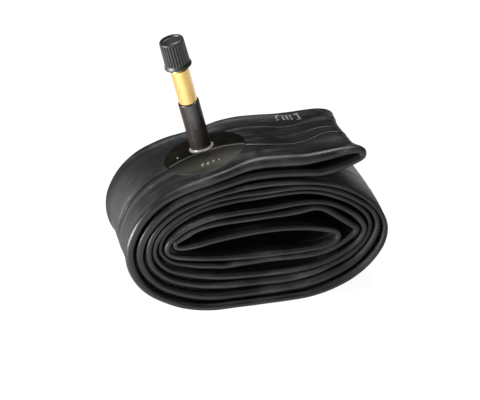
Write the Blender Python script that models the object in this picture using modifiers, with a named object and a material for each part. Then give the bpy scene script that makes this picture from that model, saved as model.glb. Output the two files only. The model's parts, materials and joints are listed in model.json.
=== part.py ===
"""A 24 inch bicycle inner tube, pressed flat and rolled up as it leaves its box.

The rubber ring lies on its rolled side with its 48 mm Schrader valve standing on the
loose end of the roll. The frame is +Z up, X to the right along the roll, Y across the
flattened tube, with the origin on the ground under the middle of the roll.
"""

import math

import bmesh
import bpy
from mathutils import Euler, Vector

MM = 0.001

# The flattened ring, in millimetres.
TUBE_WIDTH = 50.0
TUBE_THICKNESS = 1.9          # two walls of 0.95 mm pressed together
EDGE_RADIUS = 0.9
EDGE_STEPS = 2                # facets round each folded edge
ROUTE_STEPS = 2               # path points from one station to the next
ROLL_CENTRE_X = 8.75          # the roll's middle, measured in the stations' x
FIT_GAP = 0.3                 # between pieces that touch

# The 48 mm valve. Heights are above the pad, along the stem.
VALVE_STATION_X = -8.9        # where the stem stands, in the stations' x
VALVE_Y = 2.0
STEM_LEAN_LEFT = 14.1         # degrees
STEM_LEAN_FRONT = 4.0
PAD_HALF_LENGTH = 17.1
PAD_HALF_WIDTH = 17.2
PAD_FORWARD = 3.1             # how far its rim stands forward of the stem
PAD_THICKNESS = 1.0
PAD_HOLE_RADIUS = 2.2
COVER_RADIUS = 4.4
COVER_FOOT_RADIUS = 6.4
COVER_FOOT = 0.8
COVER_TOP = 23.5
INSERT_RADIUS = 3.85          # the 8V1 thread
INSERT_FOOT = 1.1
INSERT_TIP = 48.2
SHANK_RADIUS = 2.9
CAP_BOTTOM = 40.1
CAP_TOP = 52.2
CAP_DISH = 0.8
CAP_CEILING = 49.9
CAP_RADIUS = 5.1
CAP_SKIRT_RADIUS = 5.6

# The valve core inside the insert.
PLUG_BOTTOM = 42.3
PLUG_TOP = 47.0
PLUG_RADIUS = 2.3
BRIDGE_HALF_WIDTH = 1.05      # the two flats that the core key grips
BRIDGE_HEIGHT = 2.0
BARREL_BOTTOM = 32.4
BARREL_TOP = 41.9
BARREL_RADIUS = 1.85
NECK_RADIUS = 1.35
NECK_BOTTOM = 39.0
PIN_RADIUS = 0.45
PIN_BOTTOM = 28.9
PIN_TOP = 48.1
SPRING_BOTTOM = 33.5
SPRING_TOP = 37.0
SPRING_RADIUS = 1.02
SPRING_WIRE_RADIUS = 0.14
SPRING_TURNS = 4
SEGMENTS = 20                 # facets round a turned piece

# Stations along the middle of the flattened ring, as x and height. The two strands run
# side by side from the innermost fold to the loose end, and close the ring there.
OUTER_STRAND = [
    (43.3, 28.4), (42.0, 29.9), (39, 31.1), (33, 32.8), (24, 34.2), (12, 34.8), (0, 34.2),
    (-10, 33.0), (-18, 31.8), (-22.8, 31.4), (-25.4, 31.6), (-27.0, 32.6), (-27.0, 34.2),
    (-25.2, 35.3), (-22.0, 36.9), (-18.2, 38.9), (-12, 40.4), (0, 41.1), (14, 41.3),
    (26, 41.8), (33, 42.7), (36.9, 41.6), (41, 38.7), (46, 34.7), (49.3, 32.0),
    (50.9, 30.5), (50.9, 28.8), (49.3, 27.2), (41, 22.1), (35, 20.5), (26, 20.2),
    (14, 20.5), (2, 20.2), (-6, 19.9),
    # second turn
    (-14, 21.0), (-22, 22.8), (-29.2, 25.4), (-33.0, 30), (-32.2, 34.9), (-29.1, 39.4),
    (-23.2, 43.9), (-14.8, 47.3), (-4, 49.3), (10, 50.2), (24, 50.6), (34, 49.3),
    (42.7, 45.9), (50.7, 40.9), (55.8, 35.2), (57.2, 30), (55.6, 24.5), (50, 18.6),
    (42, 14.3), (33, 11.3), (22, 10.0), (8, 10.2), (-4, 10.7),
    # third turn, which the roll rests on
    (-14, 12.0), (-24, 14.7), (-32, 19.0), (-37.2, 25), (-38.4, 31), (-36.6, 37.6),
    (-31, 44.6), (-23, 49.6), (-12, 53.2), (0, 55.5), (12, 56.2), (24, 55.6),
    (35, 54.0), (45, 50.5), (54, 44.8), (61, 37.2), (63.8, 30), (62.8, 22.6), (58, 15),
    (50, 8.3), (41, 4.2), (31, 1.8), (20, 1.02), (10, 0.97), (0, 0.97), (-8, 1.17),
    (-18, 2.8), (-28, 6.5), (-38, 13.0), (-44, 21), (-46.3, 30), (-45, 38),
]
LOOSE_END = [
    (-40, 46.8), (-33, 53.2), (-23, 57.9), (-13, 60.5), (-5, 62.6), (3, 65.1),
    (10, 65.8), (20, 65.5), (28, 65.1), (36, 65.8), (43, 66.9), (48.4, 67.4),
]
INNER_STRAND = [
    (51.3, 67.0), (52.8, 66.0), (52.8, 64.3), (51.2, 63.2), (42, 60.0), (35, 58.8),
    (27, 59.6), (15, 60.5), (5, 60.2), (-5, 58.2), (-15, 55.7), (-25, 52.3), (-34, 46.3),
    (-40.2, 38), (-42.2, 29.6), (-39.8, 21.4), (-33, 14.1), (-24, 9.6), (-13, 6.6),
    (0, 5.6), (18, 5.6), (30, 6.2), (40, 8.8), (50, 13.8), (57, 21), (60.5, 29.6),
    # second turn, counted inwards
    (58.4, 37), (51.2, 43.8), (42.1, 49.0), (32, 52.2), (22, 53.1), (10, 52.7), (-2, 52.3),
    (-12.1, 50.8), (-22.2, 47.1), (-30.3, 41.5), (-35.0, 34.8), (-35.5, 28.6), (-31, 22.4),
    (-23, 18.6), (-13, 16.1), (0, 14.6), (16, 13.9), (28, 14.1), (38, 15.9), (47, 19.9),
    (53.0, 25.1), (54.5, 30),
    # third turn, back to the innermost fold
    (51.6, 35.2), (45, 40.6), (37, 44.5), (28, 45.6), (12, 44.8), (-2, 44.5), (-12, 43.5),
    (-20, 41.2), (-26, 37.8), (-29.9, 34.1), (-30.6, 30.6), (-27.8, 28.1), (-20, 26.0),
    (-10, 24.5), (2, 23.6), (16, 23.3), (30, 23.2), (37.8, 24.0), (41.6, 25.1), (43.2, 26.7),
]


def clear_scene():
    for old in list(bpy.data.objects):
        bpy.data.objects.remove(old, do_unlink=True)


def new_collection(name, hidden=False):
    made = bpy.data.collections.new(name)
    made.hide_render = hidden
    bpy.context.scene.collection.children.link(made)
    return made


def material(name, color, roughness, metallic=0.0):
    made = bpy.data.materials.new(name)
    made.use_nodes = True
    shader = made.node_tree.nodes["Principled BSDF"]
    shader.inputs["Base Color"].default_value = (*color, 1.0)
    shader.inputs["Roughness"].default_value = roughness
    shader.inputs["Metallic"].default_value = metallic
    return made


def add_object(name, data, collection, finish=None):
    made = bpy.data.objects.new(name, data)
    collection.objects.link(made)
    if finish:
        data.materials.append(finish)
    return made


def mesh_of(obj):
    """The evaluated mesh of an object, its caps and seams welded."""
    bpy.context.view_layer.update()
    graph = bpy.context.evaluated_depsgraph_get()
    mesh = bpy.data.meshes.new_from_object(obj.evaluated_get(graph), depsgraph=graph)
    solid = bmesh.new()
    solid.from_mesh(mesh)
    bmesh.ops.remove_doubles(solid, verts=solid.verts, dist=1e-6)
    solid.to_mesh(mesh)
    solid.free()
    return mesh


def catmull_rom(p, t, now):
    """The curve from p[1] to p[2] at 'now', where the points p are passed at times t."""

    def mix(a, b, i, j):
        return a.lerp(b, (now - t[i]) / (t[j] - t[i]))

    first = [mix(p[i], p[i + 1], i, i + 1) for i in range(3)]
    second = [mix(first[i], first[i + 1], i, i + 2) for i in range(2)]
    return mix(second[0], second[1], 1, 2)


def smooth_loop(stations, steps):
    """Points on a closed centripetal curve through the stations, 'steps' from each."""
    knots = [Vector(station) for station in stations]
    points = []
    for i in range(len(knots)):
        p = [knots[(i + k) % len(knots)] for k in (-1, 0, 1, 2)]
        t = [0.0]
        for a, b in zip(p, p[1:]):
            t.append(t[-1] + math.sqrt((b - a).length))
        for k in range(steps):
            points.append(catmull_rom(p, t, t[1] + (t[2] - t[1]) * k / steps))
    return points


def roll_path():
    """The middle of the flattened ring in the X-Z plane, in millimetres."""
    centre = Vector((ROLL_CENTRE_X, 0))
    ring = OUTER_STRAND + LOOSE_END + INNER_STRAND
    return [point - centre for point in smooth_loop(ring, ROUTE_STEPS)]


def loose_end_surface(x):
    """The outer face of the loose end at x, in millimetres: a point and the normal."""
    start = len(OUTER_STRAND) * ROUTE_STEPS
    run = roll_path()[start : start + len(LOOSE_END) * ROUTE_STEPS]
    for a, b in zip(run, run[1:]):
        if a.x <= x <= b.x:
            along = (b - a).normalized()
            normal = Vector((-along.y, 0, along.x))
            height = a.y + (b.y - a.y) * (x - a.x) / (b.x - a.x)
            return Vector((x, 0, height)) + normal * TUBE_THICKNESS / 2, normal
    raise ValueError("x is off the loose end")


def turned(name, profile, collection, finish, parent, segments=SEGMENTS):
    """A solid of revolution about +Z. The profile is (radius, height) in millimetres. It
    runs down the outside and up the bore, or from one point on the axis to another."""
    sheet = bmesh.new()
    corners = [sheet.verts.new((radius * MM, 0, height * MM)) for radius, height in profile]
    closed = min(radius for radius, _ in profile) > 0
    for a, b in zip(corners, corners[1:] + corners[:1] if closed else corners[1:]):
        sheet.edges.new((a, b))
    mesh = bpy.data.meshes.new(name)
    sheet.to_mesh(mesh)
    sheet.free()
    made = add_object(name, mesh, collection, finish)
    made.parent = parent
    screw = made.modifiers.new("Turn", "SCREW")
    screw.steps = segments
    screw.render_steps = segments
    screw.use_merge_vertices = True
    screw.merge_threshold = 1e-6
    screw.use_smooth_shade = True
    return made


def cut(target, cutter):
    cutter.display_type = "WIRE"
    hole = target.modifiers.new("Cut", "BOOLEAN")
    hole.operation = "DIFFERENCE"
    hole.object = cutter


def add_strip_section(guides):
    """The flattened ring's cross-section, a thin strip with round edges."""
    half = TUBE_THICKNESS / 2
    profile_curve = bpy.data.curves.new("strip_section", "CURVE")
    section = profile_curve.splines.new("POLY")
    corners = []
    for side in (1, -1):
        for step in range(EDGE_STEPS + 1):
            turn = math.pi * (step / EDGE_STEPS)
            across = side * (TUBE_WIDTH / 2 - EDGE_RADIUS + EDGE_RADIUS * math.sin(turn))
            corners.append((side * half * math.cos(turn), across))
    section.points.add(len(corners) - 1)
    for point, (thick, across) in zip(section.points, corners):
        point.co = (thick * MM, across * MM, 0, 1)
    section.use_cyclic_u = True
    return add_object("strip_section", profile_curve, guides)


def add_tube(parts, guides, cutters, rubber, valve):
    """The flattened ring: the strip section swept round the closed route."""
    curve = bpy.data.curves.new("route", "CURVE")
    curve.dimensions = "2D"
    curve.fill_mode = "NONE"
    curve.bevel_mode = "OBJECT"
    curve.bevel_object = add_strip_section(guides)
    spline = curve.splines.new("POLY")
    path = roll_path()
    spline.points.add(len(path) - 1)
    for point, place in zip(spline.points, path):
        point.co = (place.x * MM, place.y * MM, 0, 1)
    spline.use_cyclic_u = True
    swept = add_object("route", curve, guides)
    swept.rotation_euler = Euler((math.radians(90), 0, 0))
    mesh = mesh_of(swept)
    tube = add_object("tube", mesh, parts, rubber)
    tube.matrix_world = swept.matrix_world
    bpy.data.objects.remove(swept)

    air_hole = bmesh.new()
    bmesh.ops.create_cone(
        air_hole, cap_ends=True, segments=16, radius1=PAD_HOLE_RADIUS * MM,
        radius2=PAD_HOLE_RADIUS * MM, depth=2 * PAD_HOLE_RADIUS * MM,
    )
    drill_mesh = bpy.data.meshes.new("air_hole")
    air_hole.to_mesh(drill_mesh)
    air_hole.free()
    drill = add_object("air_hole", drill_mesh, cutters)
    drill.parent = valve
    # The drill stops half-way through the strip, where the two walls meet.
    wall = TUBE_THICKNESS / 2
    drill.location.z = (PAD_HOLE_RADIUS - PAD_THICKNESS - FIT_GAP - wall) * MM
    cut(tube, drill)


def add_pad(parts, rubber):
    """The round reinforcing patch, feathered at its rim and laid on the loose end."""
    dish = turned(
        "valve_pad",
        [
            (PAD_HOLE_RADIUS, PAD_THICKNESS),
            (7.0, PAD_THICKNESS),
            (12.0, 0.85 * PAD_THICKNESS),
            (15.0, 0.6 * PAD_THICKNESS),
            (PAD_HALF_WIDTH, 0.35 * PAD_THICKNESS),
            (PAD_HALF_WIDTH, 0),
            (12.0, 0),
            (7.0, 0),
            (PAD_HOLE_RADIUS, 0),
        ],
        parts, rubber, None, 32,
    )
    mesh = mesh_of(dish)
    bpy.data.objects.remove(dish)
    middle = VALVE_STATION_X - ROLL_CENTRE_X
    for vertex in mesh.vertices:
        share = vertex.co.xy.length / MM / PAD_HALF_WIDTH
        forward = PAD_FORWARD * share ** 2
        x = middle + vertex.co.x / MM * PAD_HALF_LENGTH / PAD_HALF_WIDTH
        foot, normal = loose_end_surface(x)
        place = foot + normal * (vertex.co.z / MM + FIT_GAP)
        vertex.co = Vector((place.x, VALVE_Y + vertex.co.y / MM - forward, place.z)) * MM
    add_object("valve_pad", mesh, parts, rubber)


def add_stem(parts, valve, rubber, brass):
    """The rubber-covered brass stem, bored for the core and threaded for the cap."""
    turned(
        "stem_cover",
        [
            (COVER_RADIUS - 0.4, COVER_TOP),
            (COVER_RADIUS, COVER_TOP - 0.4),
            (COVER_RADIUS, 4.2),
            (COVER_RADIUS + 0.5, 2.6),
            (COVER_RADIUS + 1.2, 1.7),
            (COVER_FOOT_RADIUS, 1.3),
            (COVER_FOOT_RADIUS, COVER_FOOT),
            (3.9, COVER_FOOT),
            (3.9, 2.5),
            (SHANK_RADIUS + FIT_GAP, 2.5),
            (SHANK_RADIUS + FIT_GAP, COVER_TOP),
        ],
        parts, rubber, valve,
    )
    turned(
        "stem_insert",
        [
            (INSERT_RADIUS - 0.5, INSERT_TIP),
            (INSERT_RADIUS, INSERT_TIP - 0.6),
            (INSERT_RADIUS, COVER_TOP + FIT_GAP),
            (SHANK_RADIUS, COVER_TOP + FIT_GAP),
            (SHANK_RADIUS, 2.2),
            (3.6, 2.2),
            (3.6, INSERT_FOOT),
            (1.5, INSERT_FOOT),
            (1.5, 27.2),
            (2.2, 28.4),
            (2.2, 39.0),
            (2.65, 41.9),
            (2.65, INSERT_TIP),
        ],
        parts, brass, valve,
    )


def add_core(parts, cutters, valve, brass, nylon, steel, rubber):
    """The screw-in valve core, from its swivel plug down to the washer that seals."""
    bore = PIN_RADIUS + 0.4
    plug = turned(
        "core_plug",
        [
            (PLUG_RADIUS - 0.2, PLUG_TOP),
            (PLUG_RADIUS, PLUG_TOP - 0.2),
            (PLUG_RADIUS, PLUG_BOTTOM),
            (bore, PLUG_BOTTOM),
            (bore, PLUG_TOP),
        ],
        parts, brass, valve,
    )
    for side in (1, -1):
        block = bmesh.new()
        bmesh.ops.create_cube(block, size=2 * PLUG_RADIUS * MM)
        mesh = bpy.data.meshes.new("key_flat")
        block.to_mesh(mesh)
        block.free()
        flat = add_object("key_flat", mesh, cutters)
        flat.parent = valve
        flat.location.y = side * (BRIDGE_HALF_WIDTH + PLUG_RADIUS) * MM
        flat.location.z = (PLUG_TOP - BRIDGE_HEIGHT + PLUG_RADIUS) * MM
        cut(plug, flat)
    turned(
        "core_barrel",
        [
            (NECK_RADIUS, BARREL_TOP),
            (NECK_RADIUS, NECK_BOTTOM),
            (BARREL_RADIUS, NECK_BOTTOM - 0.4),
            (BARREL_RADIUS, BARREL_BOTTOM),
            (0.85, BARREL_BOTTOM),
            (0.85, SPRING_BOTTOM - FIT_GAP),
            (1.45, SPRING_BOTTOM - FIT_GAP),
            (1.45, NECK_BOTTOM - 0.6),
            (bore, NECK_BOTTOM - 0.2),
            (bore, BARREL_TOP),
        ],
        parts, brass, valve,
    )
    turned(
        "core_gasket",
        [
            (2.2, BARREL_TOP - 0.3),
            (1.95, NECK_BOTTOM + 0.4),
            (NECK_RADIUS + FIT_GAP, NECK_BOTTOM + 0.4),
            (NECK_RADIUS + FIT_GAP, BARREL_TOP - 0.3),
        ],
        parts, nylon, valve,
    )
    turned(
        "core_pin",
        [
            (0, PIN_TOP),
            (PIN_RADIUS, PIN_TOP),
            (PIN_RADIUS, PIN_BOTTOM + 0.6),
            (0.9, PIN_BOTTOM + 0.6),
            (0.9, PIN_BOTTOM),
            (0, PIN_BOTTOM),
        ],
        parts, brass, valve, 16,
    )
    turned(
        "pin_collar",
        [
            (1.1, SPRING_TOP + 1.1),
            (1.1, SPRING_TOP + FIT_GAP),
            (PIN_RADIUS + 0.1, SPRING_TOP + FIT_GAP),
            (PIN_RADIUS + 0.1, SPRING_TOP + 1.1),
        ],
        parts, brass, valve, 16,
    )
    turned(
        "core_cup",
        [
            (1.7, 31.4),
            (1.7, 29.8),
            (0.75, 29.8),
            (0.75, 30.8),
            (1.4, 30.8),
            (1.4, 31.4),
        ],
        parts, brass, valve, 16,
    )
    turned(
        "core_washer",
        [(1.1, 32.1), (1.1, 31.1), (0.75, 31.1), (0.75, 32.1)],
        parts, rubber, valve, 16,
    )
    curve = bpy.data.curves.new("core_spring", "CURVE")
    curve.dimensions = "3D"
    curve.bevel_depth = SPRING_WIRE_RADIUS * MM
    curve.bevel_resolution = 1
    curve.use_fill_caps = True
    coil = curve.splines.new("POLY")
    steps = SPRING_TURNS * 12
    coil.points.add(steps)
    low = SPRING_BOTTOM + SPRING_WIRE_RADIUS
    high = SPRING_TOP - SPRING_WIRE_RADIUS
    for i, point in enumerate(coil.points):
        turn = 2 * math.pi * SPRING_TURNS * i / steps
        x = SPRING_RADIUS * math.cos(turn)
        y = SPRING_RADIUS * math.sin(turn)
        point.co = (x * MM, y * MM, (low + (high - low) * i / steps) * MM, 1)
    spring = add_object("core_spring", curve, parts, steel)
    spring.parent = valve


def add_cap(parts, valve, plastic, rubber):
    """The dust cap, hollow from below, with a shallow dish in its top."""
    bore = INSERT_RADIUS + 0.35
    turned(
        "valve_cap",
        [
            (0, CAP_TOP - CAP_DISH),
            (3.7, CAP_TOP - CAP_DISH),
            (4.1, CAP_TOP),
            (CAP_RADIUS - 0.4, CAP_TOP),
            (CAP_RADIUS, CAP_TOP - 0.5),
            (CAP_RADIUS + 0.25, CAP_BOTTOM + 1.6),
            (CAP_SKIRT_RADIUS, CAP_BOTTOM + 0.9),
            (CAP_SKIRT_RADIUS, CAP_BOTTOM),
            (bore, CAP_BOTTOM),
            (bore, CAP_CEILING),
            (0, CAP_CEILING),
        ],
        parts, plastic, valve, 28,
    )
    seal_bottom = INSERT_TIP + FIT_GAP
    seal_top = CAP_CEILING - FIT_GAP
    turned(
        "cap_seal",
        [(3.7, seal_top), (3.7, seal_bottom), (1.4, seal_bottom), (1.4, seal_top)],
        parts, rubber, valve,
    )


def main():
    clear_scene()
    parts = new_collection("inner_tube")
    cutters = new_collection("cutters", hidden=True)
    guides = new_collection("guides", hidden=True)
    butyl = material("butyl", (0.035, 0.036, 0.038), 0.45)
    patch_rubber = material("patch_rubber", (0.025, 0.025, 0.02), 0.3)
    stem_rubber = material("stem_rubber", (0.04, 0.036, 0.032), 0.4)
    brass = material("brass", (0.85, 0.62, 0.25), 0.3, 1.0)
    nylon = material("nylon", (0.75, 0.74, 0.7), 0.4)
    steel = material("spring_steel", (0.6, 0.6, 0.6), 0.3, 1.0)
    cap_plastic = material("cap_plastic", (0.03, 0.03, 0.03), 0.5)
    seal_rubber = material("seal_rubber", (0.5, 0.1, 0.06), 0.6)

    foot, normal = loose_end_surface(VALVE_STATION_X - ROLL_CENTRE_X)
    foot += normal * (FIT_GAP + PAD_THICKNESS)
    valve = add_object("valve_axis", None, guides)
    valve.location = (foot.x * MM, VALVE_Y * MM, foot.z * MM)
    valve.rotation_euler = Euler(
        (math.radians(STEM_LEAN_FRONT), math.radians(-STEM_LEAN_LEFT), 0)
    )
    add_tube(parts, guides, cutters, butyl, valve)
    add_pad(parts, patch_rubber)
    add_stem(parts, valve, stem_rubber, brass)
    add_core(parts, cutters, valve, brass, nylon, steel, seal_rubber)
    add_cap(parts, valve, cap_plastic, seal_rubber)


main()
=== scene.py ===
"""The looks of the rolled inner tube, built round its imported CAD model.

Lengths are millimetres in the row's frame until a mesh is written, which is in metres.
"""

import json
import math

import bmesh
import bpy
import numpy as np
from mathutils import Matrix, Vector, noise
from mathutils.bvhtree import BVHTree


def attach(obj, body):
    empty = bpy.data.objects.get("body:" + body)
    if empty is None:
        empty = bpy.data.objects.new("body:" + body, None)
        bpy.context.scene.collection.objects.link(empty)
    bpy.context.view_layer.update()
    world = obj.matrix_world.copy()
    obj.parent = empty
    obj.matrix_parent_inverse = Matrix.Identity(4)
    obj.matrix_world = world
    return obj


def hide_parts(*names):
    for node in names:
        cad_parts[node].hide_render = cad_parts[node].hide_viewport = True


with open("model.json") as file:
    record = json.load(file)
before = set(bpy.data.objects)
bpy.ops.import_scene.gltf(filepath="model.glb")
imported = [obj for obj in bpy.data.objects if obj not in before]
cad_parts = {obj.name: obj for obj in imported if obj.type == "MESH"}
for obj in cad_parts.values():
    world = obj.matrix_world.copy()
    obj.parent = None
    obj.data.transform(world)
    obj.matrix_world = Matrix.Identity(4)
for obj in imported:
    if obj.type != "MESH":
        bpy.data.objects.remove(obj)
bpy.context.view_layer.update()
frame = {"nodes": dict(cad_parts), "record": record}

MM = 0.001

# ---------------- sizes, as in part.py
TUBE_WIDTH = 50.0
WALL_PAIR = 1.9           # two walls pressed together
ROLL_CENTRE_X = 8.75
PATH_STEPS = 5            # rows of the mesh from one station to the next
VALVE_STATION_X = -8.9
VALVE_Y = 2.0
STEM_LEAN_LEFT = 14.1
STEM_LEAN_FRONT = 4.0
PAD_HALF_LENGTH = 17.1
PAD_HALF_WIDTH = 17.2
PAD_FORWARD = 3.1         # how far its rim stands forward of the stem
COVER_RADIUS = 4.42
COVER_TOP = 23.5
INSERT_RADIUS = 3.85
INSERT_TIP = 48.2
SHANK_RADIUS = 2.9
CAP_BOTTOM = 40.1
CAP_TOP = 52.2
CAP_CEILING = 49.9
PLUG_BOTTOM = 42.3
PLUG_TOP = 47.0
PLUG_RADIUS = 2.3
BRIDGE_HALF_WIDTH = 1.05  # the two flats that the core key grips
BRIDGE_HEIGHT = 2.0
BARREL_BOTTOM = 32.4
BARREL_TOP = 41.9
BARREL_RADIUS = 1.85
NECK_RADIUS = 1.35
NECK_BOTTOM = 39.0
PIN_RADIUS = 0.45
PIN_BOTTOM = 28.9
PIN_TOP = 48.1
FIT_GAP = 0.3

# Stations along the middle of the flattened ring, as x and height.
OUTER_STRAND = [
    (43.3, 28.4), (42, 29.9), (39, 31.1), (33, 32.8), (24, 34.2), (12, 34.8), (0, 34.2),
    (-10, 33), (-18, 31.8), (-22.8, 31.4), (-25.4, 31.6), (-27, 32.6), (-27, 34.2),
    (-25.2, 35.3), (-22, 36.9), (-18.2, 38.9), (-12, 40.4), (0, 41.1), (14, 41.3),
    (26, 41.8), (33, 42.7), (36.9, 41.6), (41, 38.7), (46, 34.7), (49.3, 32),
    (50.9, 30.5), (50.9, 28.8), (49.3, 27.2), (41, 22.1), (35, 20.5), (26, 20.2),
    (14, 20.5), (2, 20.2), (-6, 19.9),
    # second turn
    (-14, 21), (-22, 22.8), (-29.2, 25.4), (-33, 30), (-32.2, 34.9), (-29.1, 39.4),
    (-23.2, 43.9), (-14.8, 47.3), (-4, 49.3), (10, 50.2), (24, 50.6), (34, 49.3),
    (42.7, 45.9), (50.7, 40.9), (55.8, 35.2), (57.2, 30), (55.6, 24.5), (50, 18.6),
    (42, 14.3), (33, 11.3), (22, 10), (8, 10.2), (-4, 10.7),
    # third turn, which the roll rests on
    (-14, 12), (-24, 14.7), (-32, 19), (-37.2, 25), (-38.4, 31), (-36.6, 37.6),
    (-31, 44.6), (-23, 49.6), (-12, 53.2), (0, 55.5), (12, 56.2), (24, 55.6),
    (35, 54), (45, 50.5), (54, 44.8), (61, 37.2), (63.8, 30), (62.8, 22.6), (58, 15),
    (50, 8.3), (41, 4.2), (31, 1.8), (20, 1.02), (10, 0.97), (0, 0.97), (-8, 1.17),
    (-18, 2.8), (-28, 6.5), (-38, 13), (-44, 21), (-46.3, 30), (-45, 38),
]
LOOSE_END = [
    (-40, 46.8), (-33, 53.2), (-23, 57.9), (-13, 60.5), (-5, 62.6), (3, 65.1),
    (10, 65.8), (20, 65.5), (28, 65.1), (36, 65.8), (43, 66.9), (48.4, 67.4),
]
INNER_STRAND = [
    (51.3, 67), (52.8, 66), (52.8, 64.3), (51.2, 63.2), (42, 60), (35, 58.8),
    (27, 59.6), (15, 60.5), (5, 60.2), (-5, 58.2), (-15, 55.7), (-25, 52.3), (-34, 46.3),
    (-40.2, 38), (-42.2, 29.6), (-39.8, 21.4), (-33, 14.1), (-24, 9.6), (-13, 6.6),
    (0, 5.6), (18, 5.6), (30, 6.2), (40, 8.8), (50, 13.8), (57, 21), (60.5, 29.6),
    # second turn, counted inwards
    (58.4, 37), (51.2, 43.8), (42.1, 49), (32, 52.2), (22, 53.1), (10, 52.7), (-2, 52.3),
    (-12.1, 50.8), (-22.2, 47.1), (-30.3, 41.5), (-35, 34.8), (-35.5, 28.6), (-31, 22.4),
    (-23, 18.6), (-13, 16.1), (0, 14.6), (16, 13.9), (28, 14.1), (38, 15.9), (47, 19.9),
    (53, 25.1), (54.5, 30),
    # third turn, back to the innermost fold
    (51.6, 35.2), (45, 40.6), (37, 44.5), (28, 45.6), (12, 44.8), (-2, 44.5), (-12, 43.5),
    (-20, 41.2), (-26, 37.8), (-29.9, 34.1), (-30.6, 30.6), (-27.8, 28.1), (-20, 26),
    (-10, 24.5), (2, 23.6), (16, 23.3), (30, 23.2), (37.8, 24), (41.6, 25.1), (43.2, 26.7),
]

# How thick the folded edges look and how far the front edge stands back, in mm, at
# stations counted from the innermost fold. Between two keys both change evenly.
EDGE_KEYS = [
    (0, 2.6, 0.6), (9, 2.6, 0.6), (11, 2.4, 0.8), (17, 2.6, 0.6), (21, 2.8, 0.3),
    (26, 2.6, 0.3), (31, 2.8, 0.9), (35, 2.5, 1.6), (38, 2.3, 2.4), (41, 2.3, 2.2),
    (45, 2.4, 1.2), (49, 2.6, 1.6), (54, 3.4, 0.5), (60, 3, 0.5), (64, 2.5, 0.5),
    (70, 2.4, 0.4), (74, 3, -0.6), (79, 3.4, -1.5), (84, 3.5, -0.9), (90, 3.9, 0),
    (92, 4.3, 0), (94, 5.1, 0), (96, 5.3, 0), (98, 5, 0), (100, 4.2, 0),
    (102, 3.2, 0), (106, 4, 0.3), (113, 3.8, 0.3), (121, 4.3, 0.2),
    (127, 3.2, 0.5), (132, 2.3, 0.6), (138, 2.4, 1.2), (143, 3.2, 0.6), (148, 2.6, 0.8),
    (154, 2.5, 0.5), (160, 2.4, 0.5), (165, 2.7, 0.4), (169, 2.6, 0.6),
]


# ---------------- mesh helpers
WELD_DISTANCE = 0.002


def linked_object(name, data):
    made = bpy.data.objects.new(name, data)
    bpy.context.scene.collection.objects.link(made)
    return made


def mesh_object(name, points, faces, uv):
    """A smooth mesh object from points in mm and faces, with one UV pair a face corner."""
    mesh = bpy.data.meshes.new(name)
    mesh.from_pydata([tuple(p * MM) for p in points], [], faces)
    layer = mesh.uv_layers.new(name="UVMap")
    layer.data.foreach_set("uv", np.asarray(uv, np.float32).reshape(-1))
    mesh.shade_smooth()
    return linked_object(name, mesh)


def flat_uv(points, faces):
    """UV pairs of the faces' corners, straight from above."""
    flat = np.array([(p.x, p.y) for p in points]) * MM
    return flat[[a for face in faces for a in face]]


def closed_up(obj, weld=False):
    """Turns a closed mesh's faces outwards, and joins the points that lie together."""
    solid = bmesh.new()
    solid.from_mesh(obj.data)
    if weld:
        bmesh.ops.remove_doubles(solid, verts=solid.verts, dist=WELD_DISTANCE * MM)
    bmesh.ops.recalc_face_normals(solid, faces=solid.faces)
    solid.to_mesh(obj.data)
    solid.free()
    return obj


def smooth_step(low, high, value):
    """0 up to low, 1 from high on, with an even start and end between them."""
    f = min(1.0, max(0.0, (value - low) / (high - low)))
    return f * f * (3 - 2 * f)


def grid_faces(rows, cols, wrap_rows, wrap_cols):
    """Quads of a grid of rows x cols points, and for each corner its (row, col) before
    wrapping, which UVs need."""
    faces = []
    corners = []
    for i in range(rows if wrap_rows else rows - 1):
        for j in range(cols if wrap_cols else cols - 1):
            quad = [(i, j), (i + 1, j), (i + 1, j + 1), (i, j + 1)]
            faces.append([(a % rows) * cols + (b % cols) for a, b in quad])
            corners.extend(quad)
    return faces, np.array(corners)


def catmull_rom(stations, steps):
    """Points on a closed centripetal curve through the stations, 'steps' from each."""
    knots = np.asarray(stations, float)
    points = []
    for i in range(len(knots)):
        p = [knots[(i + k) % len(knots)] for k in (-1, 0, 1, 2)]
        t = np.cumsum([0] + [math.sqrt(np.linalg.norm(b - a)) for a, b in zip(p, p[1:])])
        for k in range(steps):
            now = t[1] + (t[2] - t[1]) * k / steps

            def mix(a, b, first, last):
                return a + (b - a) * (now - t[first]) / (t[last] - t[first])

            one = [mix(p[j], p[j + 1], j, j + 1) for j in range(3)]
            two = [mix(one[j], one[j + 1], j, j + 2) for j in range(2)]
            points.append(mix(two[0], two[1], 1, 2))
    return np.array(points)


def ring_smooth(values, rounds):
    """Repeated averaging along a closed row of values."""
    for _ in range(rounds):
        values = (np.roll(values, 1) + 2 * values + np.roll(values, -1)) / 4
    return values


# ---------------- the ring's path
LIFT_SMOOTHING = 30       # rounds of averaging
NEIGHBOUR_REACH = 9.0     # nearer along the strip than this isn't another strand
NO_NEIGHBOUR = 99.0
ROOM_SHARE = 0.955        # of the space between two strands that they fill
THIN_ROWS = 4             # rows each way that a tight place thins


def key_values(keys, column, count, smoothing=8):
    """A column of keys at each of the ring's rows, with its corners smoothed."""
    stations = np.arange(count) / PATH_STEPS
    keys = np.array(keys)
    return ring_smooth(np.interp(stations, keys[:, 0], keys[:, column]), smoothing)


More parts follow.
